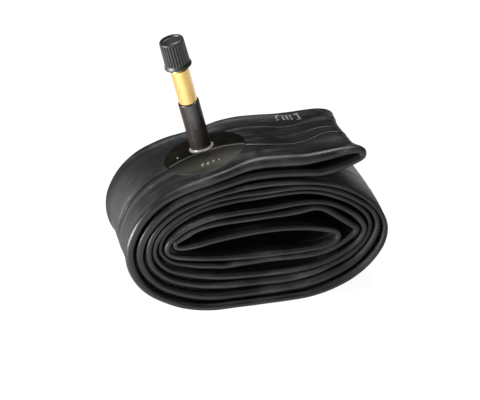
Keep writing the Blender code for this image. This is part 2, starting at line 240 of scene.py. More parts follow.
def ring_path():
    """Centre line, unit normal, arc length, and edge thickness and set-back at each row
    of the ring. The normal points to the outside of the roll."""
    ring = OUTER_STRAND + LOOSE_END + INNER_STRAND
    line = catmull_rom(ring, PATH_STEPS) - np.array([ROLL_CENTRE_X, 0])
    count = len(line)
    thick = key_values(EDGE_KEYS, 1, count, 6)
    back = key_values(EDGE_KEYS, 2, count, 6)
    # The folded edges are thicker than the CAD strip, so the run on the ground rises.
    lift = np.maximum(0, thick / 2 - line[:, 1])
    line[:, 1] += ring_smooth(lift, LIFT_SMOOTHING)
    line[:, 1] += np.maximum(0, thick / 2 - line[:, 1])
    steps = np.linalg.norm(np.roll(line, -1, 0) - line, axis=1)
    length = np.concatenate([[0], np.cumsum(steps)])
    total = length[-1]
    length = length[:-1]
    # A strand is never thicker than the room that its neighbours leave.
    apart = np.linalg.norm(line[:, None] - line[None], axis=2)
    along = np.abs(length[:, None] - length[None])
    along = np.minimum(along, total - along)
    share = thick[:, None] / (thick[:, None] + thick[None])
    room = np.where(along < NEIGHBOUR_REACH, NO_NEIGHBOUR, apart * share).min(1)
    room = room * 2 * ROOM_SHARE
    thick = np.minimum(thick, room)
    low = np.minimum.reduce([np.roll(thick, k) for k in range(-THIN_ROWS, THIN_ROWS + 1)])
    thick = ring_smooth(low, 8)
    tangent = np.roll(line, -1, 0) - np.roll(line, 1, 0)
    tangent /= np.linalg.norm(tangent, axis=1)[:, None]
    normal = np.stack([-tangent[:, 1], tangent[:, 0]], 1)
    return dict(line=line, normal=normal, length=length, total=total, thick=thick,
                back=back, count=count)


# How far the strip's rear edge hangs down and stands out, and how far the strip is raised
# along its moulding line, in mm, at the stations.
FACE_KEYS = [
    (0, 0, 0, 0), (84, 0, 0, 0), (87, 0, 0, 0.2), (89, 0, 0.5, 0.5),
    (91, 0.1, 0.5, 0.8), (92, 0.8, 0.5, 0.9), (94, 1.9, 0, 0.8), (96, 1.1, 0, 0.6),
    (97, 0.8, -0.3, 0.5), (98, 1.6, -0.4, 0.4), (99, 2.4, -0.5, 0.3), (100, 2.9, -0.5, 0.2),
    (102, 3.3, -1.4, 0), (106, 1, -1, 0), (112, 0, 0, 0), (169, 0, 0, 0),
]
# The moulded lines along the strip, as (station, y, height): the main one, with a groove
# in front of it, a short branch behind it near the fold, and a faint one further back.
MAIN_LINE = [
    (0, -6, 0.28), (84, -4, 0.22), (87, -3.2, 0.18), (88.5, -6.4, 0.18),
    (90, -4.9, 0.22), (91, -3.3, 0.26), (92.8, -3.3, 0.24), (94, -5.2, 0.16),
    (95, -7.3, 0.12), (96, -9, 0.1), (96.6, -9.3, 0.1), (97.2, -8.8, 0.1),
    (97.6, -8.3, 0.11), (98.1, -7, 0.11), (98.8, -4.8, 0.09), (99.3, -4.5, 0.08),
    (99.8, -6.5, 0.1), (101.5, -6.5, 0.24), (104, -6, 0.28), (169, -6, 0.28),
]
BRANCH_LINE = [
    (0, 3, 0), (94, 2, 0), (97.2, 1.6, 0), (97.8, 1.3, 0.16), (98.2, 1.1, 0.26),
    (98.7, 1.4, 0.28), (99.3, 1, 0.28), (100, -1.6, 0.2), (101.5, 1, 0),
    (104, 3, 0), (169, 3, 0),
]
REAR_LINE = [
    (0, 12, 0.1), (86, 8, 0.06), (89, 6, 0.06), (92, 10, 0.1), (94.4, 11.6, 0.24),
    (95.6, 12.6, 0.28), (96.8, 9.8, 0.28), (97.4, 8.8, 0.28), (98.2, 10.2, 0.28),
    (99.6, 10.8, 0.28), (101, 11, 0.2), (103, 12, 0.1), (169, 12, 0.1),
]
NECK_LENGTH = 5.0         # from the round edge bead down to the flat middle
NECK_SPREAD = 2.4         # how slowly it thins
NECK_SHARES = (0.1, 0.22, 0.36, 0.55, 0.8, 1.0)
BEAD_SHARE = 0.85         # the flat middle's most, against the bead's radius
BEAD_POINTS = 7
FLAT_PARTS = 4            # columns of faces between two lines
RIDGE_WIDTH = 0.38
RIDGE_SHARE = 0.6         # of a main line's height that stands up,
HOLLOW_SHARE = 1.3        # and that is cut in front of it,
HOLLOW_PLACE = -0.8       # this far from its crest
HOLLOW_WIDTH = 0.3
FAINT_WIDTH = 0.4
MAIN_OFFSETS = (-1.3, -1.0, -0.75, -0.5, -0.25, 0.0, 0.3, 0.7)
FAINT_OFFSETS = (-0.8, -0.4, 0.0, 0.4, 0.8)


def edge_section(radius):
    """Distances in from an edge and heights above the middle plane: a round bead, then
    a neck down to the flat middle."""
    middle = min(WALL_PAIR / 2, BEAD_SHARE * radius)
    bead = [(radius * (1 - math.cos(a)), radius * math.sin(a))
            for a in np.linspace(0, math.pi / 2, BEAD_POINTS)]
    neck = [(radius + NECK_LENGTH * f,
             middle + (radius - middle) * math.exp(-(NECK_LENGTH * f / NECK_SPREAD) ** 2))
            for f in NECK_SHARES]
    return bead + neck, middle


def filled(start, end, middle):
    """The flat columns between two places across, without the ends."""
    places = [start + (end - start) * k / FLAT_PARTS for k in range(1, FLAT_PARTS)]
    return [(y, middle, 0.0) for y in places]


def half_section(radius, front, rear, lines):
    """(across, height, mark) from the front edge to the rear. The mark is above 0 on a
    moulded line's crest and below 0 in the groove in front of the main line."""
    edge, middle = edge_section(radius)
    reach = edge[-1][0]
    (main, main_height), *faint = lines
    across = [(front + d, h, 0.0) for d, h in edge]
    across += filled(front + reach, main + MAIN_OFFSETS[0], middle)
    for offset in MAIN_OFFSETS:
        share = math.exp(-(offset / RIDGE_WIDTH) ** 2)
        hollow = math.exp(-((offset - HOLLOW_PLACE) / HOLLOW_WIDTH) ** 2)
        rise = main_height * (RIDGE_SHARE * share - HOLLOW_SHARE * hollow)
        across.append((main + offset, middle + rise, main_height * (share - hollow)))
    last = main + MAIN_OFFSETS[-1]
    for place, height in faint:
        across += filled(last, place + FAINT_OFFSETS[0], middle)
        for offset in FAINT_OFFSETS:
            share = height * math.exp(-(offset / FAINT_WIDTH) ** 2)
            across.append((place + offset, middle + share, share))
        last = place + FAINT_OFFSETS[-1]
    across += filled(last, rear - reach, middle)
    across += [(rear - d, h, 0.0) for d, h in reversed(edge)]
    return across


FLARE = 3.8               # how much wider the roll is at its rear right side
FLARE_DEPTH = 20.0        # how far back it grows
FRONT_FLARE = 0.6         # and at its front right side
FLARE_X = (20, 50)        # where it grows to the right, and ends upwards
FLARE_Z = (55, 62)
TIP_PINCH = 2.3           # how far the loose end's fold stands in at its middle
PINCH_FRONT = (-22, -15)  # where that starts and ends, from front to rear
PINCH_REAR = (2, 18)
TIP_REAR = 0.8            # and out at its rear
TIP_REAR_Y = (12, 22)
TIP_X = (35, 44)          # where the fold starts
TIP_Z = (58, 61.5)


def side_shift(x, y, z):
    """How far a point of the ring stands to the right of the even roll, in mm: the rear
    of the right side flares, and the loose end's fold is pinched in the middle."""
    back = max(0.0, y + TUBE_WIDTH / 2)
    flare = FRONT_FLARE + FLARE * (1 - math.exp(-back / FLARE_DEPTH))
    flare *= smooth_step(*FLARE_X, x) * (1 - smooth_step(*FLARE_Z, z))
    pinch = TIP_PINCH * smooth_step(*PINCH_FRONT, y) * (1 - smooth_step(*PINCH_REAR, y))
    pinch -= TIP_REAR * smooth_step(*TIP_REAR_Y, y)
    return flare - pinch * smooth_step(*TIP_X, x) * smooth_step(*TIP_Z, z)


# The unevenness of the edges and the face, as (size, length) in mm.
FRONT_WAVE = (0.35, 26)
REAR_WAVE = (0.5, 30)
RIPPLE = (0.12, 9)
RIPPLE_ACROSS = 12
SAG_FROM = 2              # the strip hangs down behind this y,
SAG_OVER = 23             # in full at this far behind it
ROOF_FRONT = 18           # how far the raised face reaches from the main line
ROOF_REAR = 11
FULL_MARK = 0.24          # the height of a line that is marked in full


def build_ring(path):
    """The pressed-flat ring as one closed skin."""
    count = path["count"]
    droop, rear_shift, crown = (key_values(FACE_KEYS, k, count) for k in (1, 2, 3))
    lines = [(key_values(keys, 1, count, 6), key_values(keys, 2, count, 6))
             for keys in (MAIN_LINE, BRANCH_LINE, REAR_LINE)]
    points = []
    runs = []
    marks = []
    for i in range(count):
        s = path["length"][i]
        wave = FRONT_WAVE[0] * noise.noise(Vector((s / FRONT_WAVE[1], 3.1, 0)))
        front = -TUBE_WIDTH / 2 + path["back"][i] + wave
        wave = REAR_WAVE[0] * noise.noise(Vector((s / REAR_WAVE[1], 9.7, 0)))
        rear = TUBE_WIDTH / 2 + rear_shift[i] + wave
        here = [(place[i], height[i]) for place, height in lines]
        half = half_section(path["thick"][i] / 2, front, rear, here)
        section = half + [(y, -h, mark) for y, h, mark in reversed(half[1:-1])]
        ridge = here[0][0]
        run = 0.0
        last = section[0]
        for y, h, mark in section:
            run += math.hypot(y - last[0], h - last[1])
            last = (y, h)
            sag = droop[i] * (max(0.0, y - SAG_FROM) / SAG_OVER) ** 2
            slope = ROOF_FRONT if y < ridge else ROOF_REAR
            roof = crown[i] * max(0.0, 1 - abs(y - ridge) / slope)
            spot = Vector((s / RIPPLE[1], y / RIPPLE_ACROSS, 5.0))
            ripple = RIPPLE[0] * noise.noise(spot)
            x, z = path["line"][i] + path["normal"][i] * (h + ripple + roof)
            points.append(Vector((x + side_shift(x, y, z), y, z - sag)))
            runs.append(run * MM)
            marks.append(mark / FULL_MARK)
    cols = len(section)
    faces, corners = grid_faces(count, cols, True, True)
    # Where the section closes, its UV runs on for 1 mm more than round the whole of it.
    runs = np.array(runs).reshape(count, cols)
    lengths = np.append(path["length"], path["total"]) * MM
    across = runs[corners[:, 0] % count, corners[:, 1] % cols]
    across[corners[:, 1] == cols] += runs[0, -1] + MM
    pairs = np.stack([lengths[corners[:, 0]], across], 1)
    skin = mesh_object("tube_skin", points, faces, pairs)
    line = skin.data.attributes.new("moulded_line", "FLOAT", "POINT")
    line.data.foreach_set("value", marks)
    return closed_up(skin)


# ---------------- what lies on the skin
DROP_FROM = 95.0          # a height above the roll


def surface_of(obj):
    """A search tree of the object's faces, in mm."""
    places = [v.co / MM for v in obj.data.vertices]
    return BVHTree.FromPolygons(places, [tuple(p.vertices) for p in obj.data.polygons])


def drop_onto(surface, x, y):
    """The first point of the surface straight under (x, y), and its normal."""
    place, normal, _, _ = surface.ray_cast(Vector((x, y, DROP_FROM)), Vector((0, 0, -1)))
    return place, normal


PAD_HOLE_RADIUS = 2.2
PAD_RINGS = 60
PAD_SEGMENTS = 180
PAD_MIDDLE = 1.3          # its thickness at the stem, and at its feathered rim
PAD_RIM = 0.16
PAD_THINS = (0.3, 1.0)    # where it thins, as shares of its size
PAD_SINK = 0.1            # how far its underside lies in the rubber
PAD_WOBBLES = ((0.012, 3, 1), (0.008, 7, 0))    # size, how many round it, phase
SEAM_HEIGHT = 0.26        # the raised moulding line across it
SEAM_HALF_WIDTH = 0.42
SEAM_POINTS = [(-33.6, -3.8), (-29, -3.3), (-24, -3.3), (-15, -3.6), (-8, -5.0), (-2.0, -6.3)]
SEAM_STEPS = 120
SEAM_COLUMNS = 9
SEAM_WAVE = (0.15, 3)     # size and length
SEAM_SINK = 0.02
# Raised marks on the pad, as x, y and radius.
PAD_DOTS = [
    (-20.9, -11.8, 0.8), (-18.6, -12.1, 0.8), (-16.4, -12.0, 0.8), (-14.1, -12.3, 0.5),
    (-28.7, 0.5, 0.55),
]
DOT_HEIGHT = 0.5
DOT_SINK = 0.05
DOT_RINGS = 6
DOT_SEGMENTS = 24


def build_pad(skin):
    """The round patch that carries the valve, laid on the loose end."""
    middle = VALVE_STATION_X - ROLL_CENTRE_X
    inner = PAD_HOLE_RADIUS / PAD_HALF_WIDTH
    top = []
    under = []
    for ring in range(PAD_RINGS + 1):
        f = inner + (1 - inner) * ring / PAD_RINGS
        body = (1 - smooth_step(*PAD_THINS, f)) ** 1.2
        body = PAD_RIM + (PAD_MIDDLE - PAD_RIM) * body
        above = []
        below = []
        for k in range(PAD_SEGMENTS):
            angle = 2 * math.pi * k / PAD_SEGMENTS
            wobble = 1 + sum(a * math.sin(n * angle + b) for a, n, b in PAD_WOBBLES)
            x = middle + PAD_HALF_LENGTH * f * wobble * math.cos(angle)
            y = VALVE_Y + PAD_HALF_WIDTH * f * wobble * math.sin(angle) - PAD_FORWARD * f * f
            place, normal = drop_onto(skin, x, y)
            above.append(place + normal * body)
            below.append(place - normal * PAD_SINK)
        top.append(above)
        under.append(below)
    points = [p for row in top + under[::-1] for p in row]
    faces, _ = grid_faces(2 * len(top), PAD_SEGMENTS, True, True)
    return closed_up(mesh_object("valve_patch", points, faces, flat_uv(points, faces)))


def build_seam(pad):
    """The moulding line across the pad, as a low ridge laid on it."""
    turns = np.array(SEAM_POINTS)
    points = []
    for x in np.linspace(turns[0, 0], turns[-1, 0], SEAM_STEPS):
        y = np.interp(x, turns[:, 0], turns[:, 1])
        y += SEAM_WAVE[0] * noise.noise(Vector((x / SEAM_WAVE[1], 0, 0)))
        for k in range(SEAM_COLUMNS):
            share = 2 * k / (SEAM_COLUMNS - 1) - 1
            place, up = drop_onto(pad, x, y + SEAM_HALF_WIDTH * share)
            rise = SEAM_HEIGHT * math.cos(share * math.pi / 2) - SEAM_SINK
            points.append(place + up * rise)
    faces, _ = grid_faces(SEAM_STEPS, SEAM_COLUMNS, False, False)
    return mesh_object("patch_seam", points, faces, flat_uv(points, faces))


def build_dots(pad):
    """Small raised marks moulded on the pad."""
    rings = DOT_RINGS
    around = DOT_SEGMENTS
    points = []
    faces = []
    for x, y, radius in PAD_DOTS:
        start = len(points)
        middle, normal = drop_onto(pad, x, y)
        points.append(middle + normal * DOT_HEIGHT)
        for ring in range(1, rings + 1):
            f = ring / rings
            for k in range(around):
                angle = 2 * math.pi * k / around
                place, up = drop_onto(
                    pad, x + radius * f * math.cos(angle), y + radius * f * math.sin(angle)
                )
                rise = DOT_HEIGHT * math.sqrt(1 - f * f) - DOT_SINK * f
                points.append(place + up * rise)
        for k in range(around):
            after = (k + 1) % around
            faces.append([start, start + 1 + k, start + 1 + after])
            for ring in range(rings - 1):
                a = start + 1 + ring * around
                faces.append([a + k, a + around + k, a + around + after, a + after])
    return mesh_object("patch_dots", points, faces, flat_uv(points, faces))


PRINT_PLACE = (19.3, 17.2)  # the left front corner of the worn print, on the loose end
PRINT_STROKES = [
    # across, back, length, depth of each stroke, in mm
    (0.0, 0.2, 0.6, 3.4), (0.6, 0.2, 1.1, 0.6), (0.6, 3.0, 1.1, 0.6),
    (2.8, -0.5, 0.8, 3.7), (4.5, -0.9, 0.8, 3.9), (6.2, -1.3, 0.8, 4.2),
    (8.3, -2.6, 1.2, 0.7), (8.3, 2.6, 1.2, 0.7), (9.5, -3.0, 0.8, 6.6),
]
PRINT_FILM = 0.04
PRINT_STEP = 0.4


def build_print(skin):
    """A few plain strokes of worn white ink, as thin patches on the rubber."""
    points = []
    faces = []
    for across, back, length, depth in PRINT_STROKES:
        nx = max(2, math.ceil(length / PRINT_STEP))
        ny = max(2, math.ceil(depth / PRINT_STEP))
        start = len(points)
        for i in range(nx + 1):
            for j in range(ny + 1):
                x = PRINT_PLACE[0] + across + length * i / nx
                y = PRINT_PLACE[1] + back + depth * j / ny
                place, normal = drop_onto(skin, x, y)
                points.append(place + normal * PRINT_FILM)
        quads, _ = grid_faces(nx + 1, ny + 1, False, False)
        faces += [[start + a for a in quad] for quad in quads]
    return mesh_object("printed_strokes", points, faces, flat_uv(points, faces))


# ---------------- turned pieces
joints = {joint["name"]: joint for joint in frame["record"]["behaviour"]["joints"]}
stem_foot = Vector(joints["cap_turn"]["pos_m"]) / MM
stem_axis = Vector(joints["cap_turn"]["axis"]).normalized()
lean = Matrix.Rotation(math.radians(-STEM_LEAN_LEFT), 4, "Y") @ Matrix.Rotation(
    math.radians(STEM_LEAN_FRONT), 4, "X"
)
VALVE = Matrix.Translation(stem_foot) @ lean
CORNER_STEPS = 4


def rounded(profile, closed):
    """The profile's corners eased. An entry is (radius, height, easing) in mm."""
    out = []
    count = len(profile)
    for i, (r, h, ease) in enumerate(profile):
        corner = Vector((r, h))
        if ease == 0 or (not closed and i in (0, count - 1)):
            out.append(corner)
            continue
        before = Vector(profile[i - 1][:2]) - corner
        after = Vector(profile[(i + 1) % count][:2]) - corner
        a = corner + before.normalized() * min(ease, before.length * 0.49)
        b = corner + after.normalized() * min(ease, after.length * 0.49)
        for k in range(CORNER_STEPS + 1):
            f = k / CORNER_STEPS
            out.append(a * (1 - f) ** 2 + corner * 2 * f * (1 - f) + b * f * f)
    return out


def subdivided(line, closed, low, high, longest):
    """The line with points added between two heights, so that no step there is longer
    than 'longest' mm."""
    out = []
    for a, b in zip(line, line[1:] + line[:1] if closed else line[1:]):
        inside = max(a.y, b.y) > low and min(a.y, b.y) < high
        parts = max(1, math.ceil((b - a).length / longest)) if inside else 1
        out += [a.lerp(b, k / parts) for k in range(parts)]
    return out if closed else out + [line[-1]]


def turned(name, profile, segments=64, shape=None, fine=None, settle=None):
    """A turned piece on the stem's axis. The profile runs down the outside and up the
    bore, or from one point on the axis to another. shape(radius, height, angle) gives
    a point's own radius, fine is (low, high, longest step) for a thread or a knurl, and
    settle(local) places a point of the stem's own frame in the row's frame."""
    closed = min(entry[0] for entry in profile) > 0
    line = rounded(profile, closed)
    if fine:
        line = subdivided(line, closed, *fine)
    points = []
    for r, h in line:
        for k in range(segments):
            angle = 2 * math.pi * k / segments
            own = shape(r, h, angle) if shape else r
            local = Vector((own * math.cos(angle), own * math.sin(angle), h))
            points.append(settle(local) if settle else VALVE @ local)
    faces, corners = grid_faces(len(line), segments, closed, True)
    run = np.cumsum([0] + [(b - a).length for a, b in zip(line, line[1:] + line[:1])])
    widest = max(r for r, _ in line)
    turn = corners[:, 1] / segments * 2 * math.pi * widest
    pairs = np.stack([turn, run[corners[:, 0]]], 1) * MM
    return closed_up(mesh_object(name, points, faces, pairs), weld=not closed)


def screw_thread(pitch, depth, low, high, limit, inside=False):
    """A shape for turned(): a right-hand thread between two heights, cut into the points
    outside (or inside) the radius 'limit'."""

    def shape(r, h, angle):
        if (r > limit) == inside or not low < h < high:
            return r
        phase = (h / pitch - angle / (2 * math.pi)) % 1
        crest = min(1.0, max(0.0, 1.7 * abs(2 * phase - 1) - 0.3))
        fade = min(1.0, (h - low) / 0.8) * min(1.0, (high - h) / 0.4)
        return r + (depth if inside else -depth) * (1 - crest) * fade

    return shape


def both(first, second):
    """Two shapes, one after the other."""
    return lambda r, h, angle: second(first(r, h, angle), h, angle)


# ---------------- the stem and its cap
FILLET = 1.0              # where the rubber cover meets the pad
FOOT_RADIUS = COVER_RADIUS + FILLET
SETTLE_HEIGHT = 5.0       # below this the cover follows the pad
THREAD_PITCH = 25.4 / 32  # 8V1
THREAD_DEPTH = 0.3
CORE_THREAD_PITCH = 25.4 / 36
CORE_THREAD_DEPTH = 0.2
CAP_RIBS = 26
RIB_DEPTH = 0.5
RIB_BOTTOM = CAP_BOTTOM + 1.9
RIB_TOP = CAP_TOP - 0.55
CAP_BORE = INSERT_RADIUS + 0.35
CAST_HEIGHT = 12          # where a search for the pad starts, along the stem


def on_the_pad(pad):
    """A settle for turned(): the foot's points follow the pad, which isn't flat."""

    def settle(local):
        fade = 1 - smooth_step(0.5, SETTLE_HEIGHT, local.z)
        if fade <= 0:
            return VALVE @ local
        across = Vector((local.x, local.y, 0))
        across = across.normalized() * max(across.length, PAD_HOLE_RADIUS + 0.6)
        start = VALVE @ Vector((across.x, across.y, CAST_HEIGHT))
        _, _, _, distance = pad.ray_cast(start, -stem_axis)
        rise = 0.0 if distance is None else CAST_HEIGHT - distance
        return VALVE @ Vector((local.x, local.y, local.z + rise * fade))

    return settle


def build_cover(pad):
    """The rubber over the stem, with the fillet that runs out onto the pad."""
    wall = COVER_RADIUS
    fillet = []
    for k in range(11):
        turn = math.pi / 2 * k / 10
        fillet.append((
            wall + FILLET * (1 - math.cos(turn)),
            0.02 + FILLET * (1 - math.sin(turn)),
            0,
        ))
    profile = [(wall - 0.25, COVER_TOP, 0.2), (wall, COVER_TOP - 0.35, 0.2), (wall, 8, 0)]
    profile += [(wall, 4, 0), *fillet, (FOOT_RADIUS + 0.4, -0.06, 0)]
    profile += [(3.2, -0.1, 0), (3.2, COVER_TOP, 0)]
    return turned("stem_sleeve", profile, 72, settle=on_the_pad(pad))


def build_insert():
    """The brass stem: a plain barrel, the cap's thread above and the core's inside."""
    profile = [
        (3.3, INSERT_TIP, 0.1), (INSERT_RADIUS, INSERT_TIP - 0.55, 0.2),
        (INSERT_RADIUS, COVER_TOP + 0.15, 0.15), (INSERT_RADIUS - 0.3, COVER_TOP - 0.1, 0),
        (SHANK_RADIUS, COVER_TOP - 0.1, 0), (SHANK_RADIUS, 2.2, 0), (1.5, 2.2, 0),
        (1.5, 27.2, 0), (2.2, 28.4, 0.2), (2.2, NECK_BOTTOM, 0.2), (2.65, BARREL_TOP, 0.2),
        (2.65, INSERT_TIP - 0.2, 0.1), (2.85, INSERT_TIP, 0),
    ]
    outer = screw_thread(THREAD_PITCH, THREAD_DEPTH, 38.4, INSERT_TIP - 0.1, 3.5)
    inner = screw_thread(CORE_THREAD_PITCH, CORE_THREAD_DEPTH, PLUG_BOTTOM - 0.2,
                         INSERT_TIP - 0.4, 2.75, inside=True)
    return turned("brass_stem", profile, 72, both(outer, inner), (36, INSERT_TIP, 0.1))


def cap_ribs(r, h, angle):
    """Narrow grooves between the grip ribs of the cap's outside."""
    if r < CAP_BORE + 0.5 or not RIB_BOTTOM < h < RIB_TOP:
        return r
    ends = min(1.0, (h - RIB_BOTTOM) / 0.35) * min(1.0, (RIB_TOP - h) / 0.5)
    valley = max(0.0, math.cos(CAP_RIBS * angle)) ** 1.5
    return r - RIB_DEPTH * valley * ends


def build_cap():
    """The dust cap: a deep dish in the top, grip ribs, a plain flared skirt."""
    dish = CAP_TOP - 1.0
    profile = [
        (0, dish + 0.45, 0), (2.4, dish + 0.38, 0.6), (3.1, dish, 0.3), (3.75, dish, 0.3),
        (4.1, CAP_TOP - 0.12, 0.2), (4.3, CAP_TOP, 0.15), (4.75, CAP_TOP - 0.05, 0.25),
        (5.05, CAP_TOP - 0.5, 0.3), (5.22, RIB_BOTTOM + 0.2, 0.1),
        (5.26, RIB_BOTTOM - 0.1, 0.15), (5.62, RIB_BOTTOM - 0.9, 0.4),
        (5.72, CAP_BOTTOM + 0.25, 0.25), (5.4, CAP_BOTTOM, 0.2), (4.7, CAP_BOTTOM, 0.2),
        (CAP_BORE, CAP_BOTTOM + 0.5, 0.2), (CAP_BORE, CAP_CEILING, 0.3), (0, CAP_CEILING, 0),
    ]
    thread = screw_thread(THREAD_PITCH, -0.28, CAP_BOTTOM + 0.4, INSERT_TIP, 4.5, inside=True)
    shape = both(cap_ribs, thread)
    return turned("dust_cap", profile, CAP_RIBS * 10, shape, (CAP_BOTTOM, RIB_TOP, 0.16))


def build_seal():
    """The sealing ring under the cap's ceiling."""
    high = CAP_CEILING - 0.05
    low = INSERT_TIP + FIT_GAP
    profile = [(3.9, high, 0.2), (3.9, low, 0.3), (1.4, low, 0.2), (1.4, high, 0.2)]
    return turned("cap_gasket", profile, 48)


# ---------------- the valve core
def key_flats(r, h, angle):
    """The two flats at the plug's top, which the core key grips."""
    if h < PLUG_TOP - BRIDGE_HEIGHT or r < 1.0:
        return r
    return min(r, BRIDGE_HALF_WIDTH / max(1e-6, abs(math.sin(angle))))


def build_core():
    """The core's turned pieces, as (object, material slot, body, CAD node)."""
    bore = PIN_RADIUS + 0.4
    thread = screw_thread(CORE_THREAD_PITCH, CORE_THREAD_DEPTH, 42.4, 44.9, 1.5)
    plug = turned("swivel_plug", [
        (2.1, PLUG_TOP, 0.15), (PLUG_RADIUS, PLUG_TOP - 0.25, 0.1), (PLUG_RADIUS, 45.05, 0),
        (PLUG_RADIUS, 44.95, 0), (PLUG_RADIUS, PLUG_BOTTOM, 0.2), (bore, PLUG_BOTTOM, 0.1),
        (bore, PLUG_TOP, 0.1),
    ], 96, both(key_flats, thread), (PLUG_BOTTOM, 45.1, 0.1))
    barrel = turned("core_housing", [
        (NECK_RADIUS, BARREL_TOP, 0.1), (NECK_RADIUS, NECK_BOTTOM, 0.1),
        (BARREL_RADIUS, 38.6, 0.1), (BARREL_RADIUS, BARREL_BOTTOM, 0.15),
        (0.85, BARREL_BOTTOM, 0.1), (0.85, 33.2, 0), (1.45, 33.2, 0), (1.45, 38.4, 0.1),
        (bore, 38.8, 0), (bore, BARREL_TOP, 0.1),
    ], 48)
    gasket = turned("core_collar_seal", [
        (2.2, 41.6, 0.15), (1.95, 39.4, 0.15), (1.65, 39.4, 0), (1.65, 41.6, 0),
    ], 48)
    pin = turned("valve_pin", [
        (0, PIN_TOP, 0), (0.4, PIN_TOP, 0.15), (PIN_RADIUS, 47.9, 0.1),
        (PIN_RADIUS, 29.5, 0), (0.9, 29.5, 0.1), (0.9, PIN_BOTTOM, 0.15), (0, PIN_BOTTOM, 0),
    ], 32)
    collar = turned("pin_flange", [
        (1.0, 38.1, 0.15), (1.0, 37.7, 0.1), (0.55, 37.7, 0), (0.55, 38.1, 0),
    ], 32)
    cup = turned("seal_cup", [
        (1.7, 31.4, 0.08), (1.7, 29.8, 0.25), (0.75, 29.8, 0.1), (0.75, 30.8, 0),
        (1.4, 30.8, 0.1), (1.4, 31.4, 0.08),
    ], 48)
    washer = turned("seal_washer", [
        (1.1, 32.1, 0.2), (1.1, 31.1, 0.1), (0.75, 31.1, 0), (0.75, 32.1, 0.1),
    ], 48)
    return [
        (plug, "brass", "plug", "core_plug"), (barrel, "brass", "core", "core_barrel"),
        (gasket, "nylon", "core", "core_gasket"), (pin, "brass", "pin", "core_pin"),
        (collar, "brass", "pin", "pin_collar"), (cup, "brass", "pin", "core_cup"),
        (washer, "seal_rubber", "pin", "core_washer"),
    ]


# ---------------- material helpers
GLOSS = "Specular IOR Level"


def new_material(name):
    """A material, its node tree and its shader."""
    made = bpy.data.materials.new(name)
    made.use_nodes = True
    return made, made.node_tree, made.node_tree.nodes["Principled BSDF"]


def add_node(tree, kind, **settings):
    """A node of a kind, with its inputs or its own settings given by name."""
    made = tree.nodes.new("ShaderNode" + kind)
    for key, value in settings.items():
        if key in made.inputs:
            made.inputs[key].default_value = value
        else:
            setattr(made, key, value)
    return made


def feed(value, node, place):
    """Gives a node's input, by name or place, a number, a colour or a link."""
    if isinstance(value, bpy.types.NodeSocket):
        node.id_data.links.new(value, node.inputs[place])
    elif isinstance(value, tuple):
        node.inputs[place].default_value = (*value, 1.0)
    else:
        node.inputs[place].default_value = value


def noise_at(vector, scale, detail=4.0, roughness=0.55):
    made = add_node(vector.id_data, "TexNoise", Scale=scale, Detail=detail)
    feed(roughness, made, "Roughness")
    feed(vector, made, "Vector")
    return made.outputs["Fac"]


def remap(value, low, high, to_low=0.0, to_high=1.0):
    """The value's range from low to high turned into another, and held at its ends."""
    made = add_node(value.id_data, "MapRange")
    for place, number in enumerate((value, low, high, to_low, to_high)):
        feed(number, made, place)
    return made.outputs["Result"]


def math_node(operation, first, second):
    made = add_node(first.id_data, "Math", operation=operation)
    feed(first, made, 0)
    feed(second, made, 1)
    return made.outputs["Value"]


def product(first, *others):
    """Values multiplied together."""
    for other in others:
        first = math_node("MULTIPLY", first, other)
    return first


def mixed_colour(factor, dark, light):
    made = add_node(factor.id_data, "Mix", data_type="RGBA")
    feed(factor, made, "Factor")
    feed(dark, made, "A")
    feed(light, made, "B")
    return made.outputs["Result"]


def mapped(tree, source, scale=(1, 1, 1)):
    """UV or object coordinates, stretched by a scale for each axis."""
    made = add_node(tree, "Mapping", Scale=scale)
    feed(add_node(tree, "TexCoord").outputs[source], made, "Vector")
    return made.outputs["Vector"]


def split(vector):
    """A vector's X, Y and Z."""
    made = add_node(vector.id_data, "SeparateXYZ")
    feed(vector, made, "Vector")
    return tuple(made.outputs)


def bump(shader, height, strength, distance):
    made = add_node(shader.id_data, "Bump", Strength=strength, Distance=distance)
    feed(height, made, "Height")
    feed(made.outputs["Normal"], shader, "Normal")


# ---------------- the butyl
# Noise scales are counts a metre, and places are metres of the object.
GRAIN_SCALE = (900, 2600, 1)  # lengthwise grain
STREAK_SCALE = (22, 260, 1)   # long streaks of talc
FLECK_SCALE = (260, 900, 1)   # and the flecks in them
CLOUD_SCALE = (60, 60, 60)    # mottling
BUTYL_DARK = (0.0059, 0.0059, 0.0066)
BUTYL_LIGHT = (0.0099, 0.0099, 0.0111)
TALC_COLOUR = (0.09, 0.09, 0.093)
PAINTED_REFLECTION_COLOUR = (0.17, 0.17, 0.174)
GROOVE_SHADE_COLOUR = (0.001, 0.001, 0.001)
PAINTED_REFLECTION_X = (0.030, 0.054)   # a painted reflection, pale over the roll's right shoulder
PAINTED_REFLECTION_Y = (-0.022, -0.006)
PAINTED_REFLECTION_Z = (0.066, 0.058)
LINE_TALC = 0.2           # talc on the crest of a moulded line
BUTYL_ROUGH = (0.31, 0.42)
TALC_ROUGH = 0.25         # added where talc lies
MATT_ROUGH = 0.22         # added on the right side, below the loose end
MATT_X = (0.015, 0.040)
MATT_Z = (0.062, 0.054)
BUTYL_SPECULAR = 0.3      # the gloss socket's own plain value, under the linked one; what the export keeps of the gloss
SQUARE_GLOSS = 0.38       # specular level seen square on, and seen edge on
EDGE_GLOSS = 0.03
GLOSS_FACING = (0.45, 0.85)
GROOVE_GLOSS = 0.1        # shares of that in a groove, along the rear edge, and on
REAR_GLOSS = 0.3          # the faces inside the roll
INNER_GLOSS = 0.2
REAR_Y = (0.012, 0.024)
INNER_Y = (-0.0235, -0.017)
INNER_HALF_WIDTH = 0.047  # the ellipse round the inner turns
INNER_MIDDLE = 0.033
INNER_HALF_HEIGHT = 0.027


